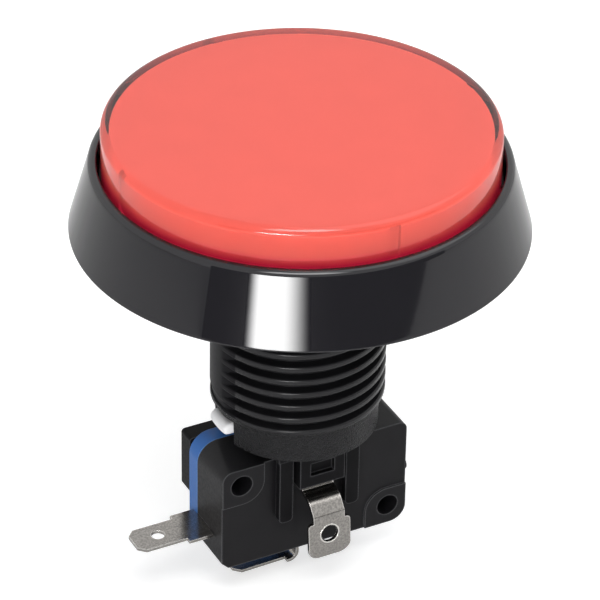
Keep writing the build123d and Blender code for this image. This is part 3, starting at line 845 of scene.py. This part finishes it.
@dataclass
class ThreadedBody:
    """Bezel with a leaning flank and, below it, a shank with one helical thread and a plain band."""

    bore: float = 9.6
    root: float = 10.5
    band: float = 10.9
    crest: float = 11.7
    end: float = -30.25
    collar_foot: float = -1.2
    shank_level: float = -0.1
    radius: float = 30.0
    edge: float = 0.2
    top_radius: float = 27.21
    height: float = 9.9
    rim_inner: float = 26.2
    floor: float = 1.8
    pitch: float = 2.0
    crest_flat: float = 0.85
    flank: float = 0.22
    crest_round: float = 0.3
    crest_level: float = -3.2
    crest_way: float = 242.3
    thread_foot: float = -26.5
    fade_start: float = -25.6
    fade_end: float = -26.3
    band_top: float = -25.2
    strip_start: float = 150.0
    strip_end: float = 184.0
    strip_soft: float = 4.0
    strip_run_out: float = 15.0
    strip_foot: float = -23.2
    strip_fade: float = 6.0
    notch_half: float = 2.45
    notch_top: float = -26.7
    groove_low: float = -29.0
    groove_high: float = -27.6
    groove_radius: float = 10.2
    collar_round: float = 0.15
    foot_round: float = 0.12
    edge_round: float = 0.2
    top_round: float = 0.8
    rim_round: float = 0.25
    floor_round: float = 0.3
    bore_round: float = 0.2
    band_step: float = 0.1
    band_rows: int = 12
    columns: int = 216
    column_gap: float = 0.4

    def columns_round(self) -> np.ndarray:
        """Angles round the body in radians, with columns at the notches' sides."""
        even = np.linspace(0.0, 360.0, self.columns + 1)
        half = math.degrees(math.asin(self.notch_half / self.band))
        notch = np.array([half, 180.0 - half, 180.0 + half, 360.0 - half])
        clear = np.abs(even[:, None] - notch[None, :]).min(1) > self.column_gap
        return np.radians(np.sort(np.concatenate([even[clear], notch])))

    def thread_section(self) -> tuple[np.ndarray, np.ndarray]:
        """Half of the thread's section, from the middle of a crest to the middle of a groove.

        Returns:
            Distances along the axis in millimetres, and the share of the thread's depth at each.
        """
        flat, foot, gap = self.crest_flat / 2, self.crest_flat / 2 + self.flank, self.pitch / 2
        section = rounded_profile(
            [
                (0.0, 0.0, 0.0),
                (gap, 0.0, 0.0),
                (gap, self.root, 0.0),
                (foot, self.root, 0.0),
                (flat, self.crest, self.crest_round),
                (0.0, self.crest, 0.0),
            ],
            steps=5,
        )
        outside = section[section[:, 1] > self.root - SAME_POINT]
        along, first = np.unique(outside[:, 0].round(5), return_index=True)
        return along, (outside[first, 1] - self.root) / (self.crest - self.root)

    def relief(self, angle: np.ndarray, level: np.ndarray) -> np.ndarray:
        """Radius of the shank's outside, the greater of the thread's and the plain strip's.

        The thread's depth comes from its section, by the distance along the axis from the nearest crest, whose
        level rises by one pitch for each turn. A crest below the thread's end fades out. The ground is the root
        above the band's top and the band below it. The strip stands at the crest's radius between its two angles
        and tapers to the band.

        Args:
            angle: angles in radians.
            level: heights in millimetres.

        Returns:
            Radii in millimetres.
        """
        crest = self.crest_level + self.pitch * (angle - math.radians(self.crest_way)) / TURN
        off = np.mod(level - crest + self.pitch / 2, self.pitch) - self.pitch / 2
        thread = np.interp(np.abs(off), *self.thread_section())
        thread = thread * smooth_step(self.fade_end, self.fade_start, level - off)
        above = smooth_step(self.band_top - self.band_step, self.band_top + self.band_step, level)
        ground = self.band + (self.root - self.band) * above
        turn = np.degrees(angle)
        inside = smooth_step(self.strip_start - self.strip_soft, self.strip_start, turn)
        inside = inside * (1.0 - smooth_step(self.strip_end, self.strip_end + self.strip_run_out, turn))
        taper = np.clip((level - self.strip_foot + self.strip_fade) / self.strip_fade, 0.0, 1.0)
        strip = ground + (self.band + (self.crest - self.band) * taper - ground) * inside
        return np.maximum(ground + (self.crest - ground) * thread, strip)

    def thread_levels(self, angle: np.ndarray) -> np.ndarray:
        """Heights of the thread's rows, which climb by one pitch for each turn.

        They are kept between the thread's foot and the collar, where the first rows and the last ones close.

        Args:
            angle: angles in radians, from 0 to a full turn.

        Returns:
            One row of heights for each row of the grid.
        """
        crest_at_zero = self.crest_level - self.pitch * self.crest_way / 360.0
        reach = self.collar_foot - self.thread_foot
        turns = math.ceil(reach / self.pitch) + 2
        start = crest_at_zero - self.pitch * math.ceil((crest_at_zero - self.thread_foot) / self.pitch + 1)
        half = self.thread_section()[0]
        shares = np.concatenate([half, self.pitch - half[-2:0:-1]])
        row = (start + np.arange(turns + 1)[:, None] * self.pitch + shares[None, :]).ravel()
        climb = self.pitch * angle / TURN
        return np.clip(row[:, None] + climb[None, :], self.thread_foot, self.collar_foot)

    def notch_warp(self, angle: np.ndarray, radius: float) -> np.ndarray:
        """Moves the columns at a notch's sides so that the sides are flat at any radius.

        Those columns go to the angle whose sine is half the notch's width over the radius, and the columns between
        them and the diagonal are spread evenly.

        Args:
            angle: angles in radians at the band's radius.
            radius: radius of the row in millimetres.

        Returns:
            The angles of that row.
        """
        middle = np.round(angle / math.pi) * math.pi
        off = angle - middle
        at_band = math.asin(self.notch_half / self.band)
        at_row = math.asin(self.notch_half / radius)
        marks = np.array([-math.pi / 2, -math.pi / 4, -at_band, at_band, math.pi / 4, math.pi / 2])
        places = np.array([-math.pi / 2, -math.pi / 4, -at_row, at_row, math.pi / 4, math.pi / 2])
        return middle + np.interp(off, marks, places)

    def bezel_outline(self) -> np.ndarray:
        """Section of the bezel, from the collar over its flank, rim and floor and down the bore to the notches.

        Returns:
            The (radius, height) points in order.
        """
        shape = rounded_profile(
            [
                (self.crest, self.collar_foot, self.collar_round),
                (self.crest, 0.0, self.collar_round),
                (self.radius, 0.0, self.foot_round),
                (self.radius, self.edge, self.edge_round),
                (self.top_radius, self.height, self.top_round),
                (self.rim_inner, self.height, self.rim_round),
                (self.rim_inner, self.floor, self.floor_round),
                (self.bore, self.floor, self.bore_round),
                (self.bore, self.notch_top, 0.0),
                (self.root, self.collar_foot, 0.0),
            ]
        )
        stop = np.linalg.norm(shape - (self.bore, self.notch_top), axis=1).argmin() + 1
        return shape[:stop]

    def in_notch(self, angle: np.ndarray) -> np.ndarray:
        """True for each column of quads that lies in one of the two notches."""
        turn = np.mod((angle[:-1] + angle[1:]) / 2 + QUARTER, 2 * QUARTER) - QUARTER
        return np.abs(turn) < math.asin(self.notch_half / self.band)

    def notch_quads(self, inside: np.ndarray, outside: np.ndarray, open_columns: np.ndarray) -> np.ndarray:
        """Quads between the inner and the outer wall that close the notches' tops and sides.

        Args:
            inside: point numbers of the inner wall's rows, from the notches' tops down.
            outside: point numbers of the outer wall's rows at the same heights.
            open_columns: True for each column of quads in a notch.

        Returns:
            An array of quads.
        """
        tops = np.stack([inside[0, :-1], inside[0, 1:], outside[0, 1:], outside[0, :-1]], axis=-1)[open_columns]
        around = np.concatenate([open_columns[-1:], open_columns, open_columns[:1]])
        sides = np.flatnonzero(np.diff(around.astype(int)))
        walls = np.stack([inside[:-1, sides], inside[1:, sides], outside[1:, sides], outside[:-1, sides]], axis=-1)
        return np.concatenate([tops, walls.reshape(-1, 4)])

    def build(self) -> Piece:
        """Carries the body's section round the axis as one closed grid, with the two notches left open.

        The rows go from the collar over the bezel to its floor, down the bore, round the end and up the band and
        the thread to the collar again. Quads between the inner and the outer wall close the notches' sides and
        tops.

        Returns:
            The body as a closed object.
        """
        angle = self.columns_round()
        wide = np.ones(len(angle))
        upper = self.bezel_outline()[:, :, None] * wide
        groove = [self.groove_high, self.groove_high, self.groove_low, self.groove_low]
        levels = np.array([self.notch_top, *groove, self.end])
        inner = np.array([self.bore, self.bore, self.groove_radius, self.groove_radius, self.bore, self.bore])
        inner_wall = np.stack([inner, levels], axis=1)[1:, :, None] * wide
        over_notch = np.linspace(self.notch_top, self.thread_foot, self.band_rows)[1:]
        climb = np.concatenate([levels[::-1], over_notch])[:, None] * wide
        rise = np.concatenate([climb, self.thread_levels(angle)])
        outer = np.stack([self.relief(angle[None, :], rise), rise], axis=1)
        rows = np.concatenate([upper, inner_wall, outer])
        first_inner, first_outer = len(upper) - 1, len(upper) + len(inner_wall)
        ways = np.repeat(angle[None, :], len(rows), axis=0)
        ways[first_inner:first_outer] = [self.notch_warp(angle, radius) for radius in inner]
        points = turned_points(rows[:, 0], ways, rows[:, 1])
        open_columns = self.in_notch(angle)
        faces = grid_quads(*ways.shape, wrap_rows=True)
        kept = np.ones(faces.shape[:2], bool)
        kept[first_inner : first_outer + len(levels) - 1] = ~open_columns
        number = np.arange(ways.size).reshape(ways.shape)
        inside = number[first_inner:first_outer]
        outside = number[first_outer : first_outer + len(levels)][::-1]
        faces = np.concatenate([faces[kept], self.notch_quads(inside, outside, open_columns)])
        made = new_object("bezel_and_shank", points, faces, sharp=28.0)
        seat(made, Body.HOUSING, GLOSS_BLACK, "bezel_body")
        self.dull_shank(made.data)
        return made

    def dull_shank(self, mesh: bpy.types.Mesh) -> None:
        """Gives the thread, the band below it and the plain strip beside it their duller finishes.

        Args:
            mesh: the body's mesh, whose first finish is the bezel's.
        """
        thread, band, strip = 1, 2, 3
        # the thread's finish is lighter than the bezel's black, a painted fill light for its grooves
        for finish in (THREAD_BLACK_PAINTED_FILL, BAND_BLACK, STRIP_BLACK):
            mesh.materials.append(finish.material())
        across, along, level = face_middles(mesh).T
        turn = np.mod(np.degrees(np.arctan2(along, across)), 360.0)
        plain = (turn > self.strip_start - self.strip_soft) & (turn < self.strip_end + self.strip_run_out)
        finishes = np.where(level < self.shank_level, np.where(plain, strip, thread), 0)
        finishes[level < self.band_top - self.band_step] = band
        mesh.polygons.foreach_set("material_index", finishes.astype(np.int32))


@dataclass
class ReturnSpring:
    """Coil spring round the stem, with a closed turn at each end."""

    radius: float = 11.0
    wire: float = 0.45
    low: float = 2.3
    high: float = 11.5
    seat_level: float = 1.8
    disc_level: float = 12.0
    travel: float = 2.0
    turns: float = 5.0
    closed: float = 0.85
    steps: int = 320
    sides: int = 14
    tip: float = 1e-3

    def build(self) -> Piece:
        """Carries the wire's circle along a helix whose ends run level.

        The height stays level across the closed turn at each end and rises evenly between the two. The wire narrows
        to a point at its ends.

        Returns:
            The spring as an object.
        """
        turn = np.linspace(0.0, self.turns, self.steps)
        rise = np.clip((turn - self.closed) / (self.turns - 2 * self.closed), 0.0, 1.0)
        height = self.low + (self.high - self.low) * rise
        way = turn * TURN
        middle = np.stack([self.radius * np.cos(way), self.radius * np.sin(way), height], axis=-1)
        ahead = unit(np.gradient(middle, axis=0))
        out = np.stack([np.cos(way), np.sin(way), np.zeros_like(way)], axis=-1)
        up = np.cross(out, ahead)
        round_wire = np.arange(self.sides) * TURN / self.sides
        taper = np.ones(self.steps)
        taper[[0, -1]] = self.tip
        ring = self.wire * taper[:, None, None] * (
            np.cos(round_wire)[None, :, None] * out[:, None] + np.sin(round_wire)[None, :, None] * up[:, None]
        )
        points = (middle[:, None] + ring) * MM
        faces = grid_quads(self.steps, self.sides, wrap_columns=True)
        made = seat(new_object("return_coil", points, faces, sharp=50.0), Body.HOUSING, SPRING_STEEL, "return_spring")
        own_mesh(made)
        return made


@dataclass
class EasedSolids:
    """Mouldings and sheet metal whose form is the solid's own, with eased edges.

    Attributes:
        nodes: objects of the frame by name.
    """

    nodes: dict[str, Piece]

    def build(self) -> list[Piece]:
        """Copies each solid with its edges eased by its own width.

        Returns:
            The new objects.
        """
        plan = [
            ("lamp_holder", "lamp_holder_moulding", Body.HOUSING, HOLDER_BLACK, 0.06),
            ("switch_base", "switch_case", Body.HOUSING, CASE_BLACK, 0.06),
            ("switch_cover", "switch_back", Body.HOUSING, BLUE_PLASTIC, 0.05),
            ("lamp_terminal_front", "front_lamp_tab", Body.HOUSING, PLATED_STEEL, 0.05),
            ("lamp_terminal_rear", "rear_lamp_tab", Body.HOUSING, PLATED_STEEL, 0.05),
            ("common_terminal", "common_tab", Body.HOUSING, PLATED_STEEL, 0.05),
            ("normally_open_terminal", "open_tab", Body.HOUSING, PLATED_STEEL, 0.05),
            ("switch_button", "switch_pin", Body.BUTTON, PIN_PLASTIC, 0.12),
        ]
        made = []
        for node, name, body, finish, width in plan:
            piece = eased_copy(name, self.nodes[node], width)
            made.append(seat(piece, body, finish, node))
        return made


@dataclass
class HoleRims:
    """Coined rims round the holes of the two lamp tabs, one on each face of each tab."""

    radius: float = 1.26
    reach: float = 0.22
    height: float = 0.06
    rise: float = 3.7
    inward: float = 0.45
    half: float = 0.25
    lean: float = 0.0865
    columns: int = 64
    sides: int = 12

    def ring(self, middle: Point, outward: int, face: int) -> np.ndarray:
        """Carries a flat ellipse round a hole, half sunk in the tab's leaning face.

        Args:
            middle: middle of the hole at half the sheet's thickness, in millimetres.
            outward: -1 for the tab in front, 1 for the one behind.
            face: 1 for the face away from the axis, -1 for the other.

        Returns:
            A grid of points in metres.
        """
        tilt = math.atan(self.lean)
        up = np.array([0.0, -outward * math.sin(tilt), math.cos(tilt)])
        out = np.array([0.0, outward * math.cos(tilt), math.sin(tilt)])
        round_hole = (np.arange(self.columns) * TURN / self.columns)[:, None, None]
        across = (np.arange(self.sides) * TURN / self.sides)[None, :, None]
        reach = self.radius + self.reach / 2 * (1.0 + np.cos(across))
        level = face * self.half + self.height * np.sin(across)
        flat = reach * (np.cos(round_hole) * np.array([1.0, 0.0, 0.0]) + np.sin(round_hole) * up)
        return (np.array(middle) + flat + level * out) * MM

    def build(self) -> Piece:
        """Puts a rim on both faces of both tabs.

        Returns:
            The rims as one object.
        """
        rings = []
        for name, outward in (("lamp_terminal_front", -1), ("lamp_terminal_rear", 1)):
            low, high = (np.array(corner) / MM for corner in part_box(name))
            far = low[1] if outward < 0 else high[1]
            middle = (0.0, far - outward * self.inward, low[2] + self.rise)
            rings += [self.ring(middle, outward, face) for face in (-1, 1)]
        quads = grid_quads(self.columns, self.sides, wrap_rows=True, wrap_columns=True).reshape(-1, 4)
        count = self.columns * self.sides
        faces = np.concatenate([quads + count * index for index in range(len(rings))])
        made = new_object("tab_hole_rims", np.concatenate([ring.reshape(-1, 3) for ring in rings]), faces, sharp=60.0)
        # the rims get the lighter steel, a painted highlight round the holes
        return seat(made, Body.HOUSING, RIM_STEEL_PAINTED_HIGHLIGHT)


@dataclass
class PlainNodes:
    """Small hidden solids that keep their own mesh and get a finish.

    Attributes:
        nodes: objects of the frame by name.
    """

    nodes: dict[str, Piece]

    def dress(self) -> None:
        """Gives each remaining solid its finish."""
        plan = {
            "lamp_base": LAMP_PLASTIC,
            "led_emitter": EMITTER_RESIN,
            "lamp_lead_front": LEAD_WIRE,
            "lamp_lead_rear": LEAD_WIRE,
            "snap_blade": CONTACT_BRASS,
            "moving_contact": CONTACT_BRASS,
            "fixed_contact": CONTACT_BRASS,
        }
        for name, finish in plan.items():
            finish.dress(self.nodes[name])
            LOG.info("%s: finish %s", name, finish.name)


# Studio


def ring_points(radius: np.ndarray, way: np.ndarray, height: np.ndarray) -> np.ndarray:
    """Points in metres at radii and heights, one for each row, and azimuths in degrees, counted as the camera's."""
    turn = np.radians(way)[None, :]
    across, along = radius[:, None] * np.sin(turn), -radius[:, None] * np.cos(turn)
    return np.stack(np.broadcast_arrays(across, along, height[:, None]), axis=-1)


@dataclass(frozen=True)
class Strip:
    """Bright strip that follows a circle about the axis, for the gloss to reflect.

    Attributes:
        name: name of the strip.
        level: glow of its middle, where 1 looks white.
        rise: azimuths in degrees where the glow starts and is full.
        fall: azimuths in degrees where the glow starts to fall and ends.
        columns: points along it.
    """

    name: str
    level: float
    rise: Span
    fall: Span
    columns: int = 85

    def hang(self, radius: np.ndarray, height: np.ndarray) -> None:
        """Makes the strip, whose glow rises across one span of azimuth and falls across another by smooth steps.

        Args:
            radius: radius of each row in metres.
            height: height of each row in metres.
        """
        way = np.linspace(self.rise[0], self.fall[1], self.columns)
        made = new_object(self.name, ring_points(radius, way, height), grid_quads(len(radius), len(way)))
        spots = np.empty(len(made.data.vertices) * 3)
        made.data.vertices.foreach_get("co", spots)
        spots = spots.reshape(-1, 3)
        at = np.degrees(np.arctan2(spots[:, 0], -spots[:, 1]))
        glow = self.level * smooth_step(*self.rise, at) * (1.0 - smooth_step(*self.fall, at))
        made.data.attributes.new("glow", "FLOAT", "POINT").data.foreach_set("value", glow)
        finish, wiring, shader = new_material(self.name)
        read = wiring.add("Attribute", {})
        read.attribute_name = "glow"
        look = {"Base Color": grey(0.0), "Specular IOR Level": 0.0, "Emission Color": grey(1.0)}
        wiring.join(shader, {**look, "Emission Strength": read.outputs["Fac"]})
        made.data.materials.append(finish)
        made.visible_camera = False


@dataclass
class Studio:
    """Camera at the photograph's angle, soft light and a pale floor.

    Places of the camera and the floor are in millimetres. Those of the lamp, the strips and the card are in metres.
    """

    eye: Point = (-176.96, -336.71, 237.99)
    azimuth: float = -27.724
    pitch: float = 33.307
    yaw: float = -0.022
    roll: float = 1.042
    focal_pixels: float = 3467.318
    image: int = 600
    sensor: float = 36.0
    clip: Span = (0.01, 20.0)
    fill: Span = (0.42, 1.0)
    floor_level: float = -54.0
    floor_half: float = 4.0
    floor_points: int = 9
    floor_albedo: float = 0.72
    floor_glow: float = 0.6
    floor_reflected: float = 0.3
    lamp_way: Span = (70.0, 66.0)
    lamp_distance: float = 0.95
    lamp_size: Span = (0.9, 0.9)
    lamp_level: float = 1.25
    flank_radius: float = 0.6
    flank_heights: Span = (-0.035, 0.06)
    flank_rows: int = 5
    edge_radius: float = 0.9
    edge_tilts: Span = (48.0, 74.0)
    edge_rows: int = 9
    card_ways: Span = (-71.0, 47.0)
    card_radii: Span = (0.65, 0.95)
    card_heights: Span = (-0.053, 0.17)
    card_rows: int = 5
    card_columns: int = 61
    card_albedo: float = 0.12

    def camera(self) -> None:
        """Places the camera: turned to its azimuth, tipped down by its pitch and rolled about its own line."""
        data = bpy.data.cameras.new("studio_camera")
        data.sensor_width = self.sensor
        data.lens = self.focal_pixels * self.sensor / self.image
        data.clip_start, data.clip_end = self.clip
        eye = linked("studio_camera", data)
        turn = Matrix.Rotation(math.radians(self.azimuth + self.yaw), 4, "Z")
        tip = Matrix.Rotation(math.radians(90.0 - self.pitch), 4, "X")
        lean = Matrix.Rotation(math.radians(self.roll), 4, "Z")
        eye.matrix_world = Matrix.Translation(Vector(self.eye) * MM) @ turn @ tip @ lean
        bpy.context.scene.camera = eye

    def softbox(self) -> None:
        """Hangs an area lamp that looks at the object, from its azimuth and elevation, with its level as radiance."""
        wide, high = self.lamp_size
        data = bpy.data.lights.new("overhead_softbox", "AREA")
        data.shape = "RECTANGLE"
        data.size, data.size_y = wide, high
        data.energy = self.lamp_level * math.pi * wide * high
        lamp = linked("overhead_softbox", data)
        a, e = (math.radians(way) for way in self.lamp_way)
        back = Vector((math.sin(a) * math.cos(e), -math.cos(a) * math.cos(e), math.sin(e)))
        facing = back.to_track_quat("Z", "Y").to_matrix().to_4x4()
        lamp.matrix_world = Matrix.Translation(back * self.lamp_distance) @ facing
        lamp.visible_camera = False

    def pale_rays(self, wiring: Wiring, reflected: float = 1.0) -> Socket:
        """Adds nodes that are 1 for rays of the camera and clear plastic, a share for reflections and 0 for the rest.

        Args:
            wiring: where the nodes go.
            reflected: share for reflections.

        Returns:
            The socket of that value.
        """
        path = wiring.add("LightPath", {}).outputs
        seen = wiring.combined("MAXIMUM", path["Is Camera Ray"], path["Is Transmission Ray"])
        return wiring.combined("MAXIMUM", seen, wiring.combined("MULTIPLY", path["Is Glossy Ray"], reflected))

    def surroundings(self) -> None:
        """Makes the world white where it is looked at, and a soft fill for everything else."""
        world = bpy.data.worlds.new("studio_world")
        bpy.context.scene.world = world
        world.use_nodes = True
        wiring = Wiring(world.node_tree)
        strength = wiring.ranged(self.pale_rays(wiring), (0.0, 1.0), self.fill)
        wiring.join(world.node_tree.nodes["Background"], {"Color": grey(1.0), "Strength": strength})

    def floor(self) -> None:
        """Lays a pale floor that looks white, with the object's soft shadow on it."""
        reach = np.linspace(-self.floor_half, self.floor_half, self.floor_points)
        across, along = np.meshgrid(reach, reach)
        points = np.stack([across, along, np.full_like(across, self.floor_level * MM)], axis=-1)
        made = new_object("studio_floor", points, grid_quads(*across.shape)[..., ::-1])
        finish, wiring, shader = new_material("studio_floor")
        glow = wiring.combined("MULTIPLY", self.pale_rays(wiring, self.floor_reflected), self.floor_glow)
        look = {"Base Color": grey(self.floor_albedo), "Roughness": 1.0, "Specular IOR Level": 0.0}
        wiring.join(shader, {**look, "Emission Color": grey(1.0), "Emission Strength": glow})
        made.data.materials.append(finish)

    def strips(self) -> None:
        """Stands a strip at the front left for the flank, and hangs a wide one above the front for round edges."""
        flank = Strip("flank_strip", level=27.0, rise=(-52.0, -45.5), fall=(-36.0, -22.0))
        flank.hang(np.full(self.flank_rows, self.flank_radius), np.linspace(*self.flank_heights, self.flank_rows))
        tilt = np.radians(np.linspace(*self.edge_tilts, self.edge_rows))
        edge = Strip("edge_strip", level=8.4, rise=(-58.0, -46.0), fall=(-6.0, 10.0))
        edge.hang(self.edge_radius * np.cos(tilt), self.edge_radius * np.sin(tilt))

    def dark_card(self) -> None:
        """Stands a low dark card round the front, which the bezel's flank reflects beside the bright strip.

        The card is part of a cone about the axis, between two azimuths, and it leans outwards from the floor.
        """
        way = np.linspace(*self.card_ways, self.card_columns)
        radius = np.linspace(*self.card_radii, self.card_rows)
        points = ring_points(radius, way, np.linspace(*self.card_heights, self.card_rows))
        made = new_object("studio_card", points, grid_quads(self.card_rows, self.card_columns))
        finish, wiring, shader = new_material("studio_card")
        wiring.join(shader, {"Base Color": grey(self.card_albedo), "Roughness": 1.0, "Specular IOR Level": 0.0})
        made.data.materials.append(finish)
        made.visible_camera = False

    def build(self) -> None:
        """Sets the view and adds the camera, the lamp, the world, the floor, the strips and the card."""
        bpy.context.scene.view_settings.view_transform = "Standard"
        self.camera()
        self.softbox()
        self.surroundings()
        self.floor()
        self.strips()
        self.dark_card()


def main() -> None:
    """Loads the frame, builds and dresses the pieces in order, and notes the sizes."""
    logging.basicConfig(level=logging.INFO, format="%(name)s: %(message)s")
    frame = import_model()
    CapLens().build()
    Plunger().build()
    ThreadedBody().build()
    ReturnSpring().build()
    EasedSolids(frame["nodes"]).build()
    HoleRims().build()
    PlainNodes(frame["nodes"]).dress()
    Studio().build()


if __name__ == "__main__":
    main()
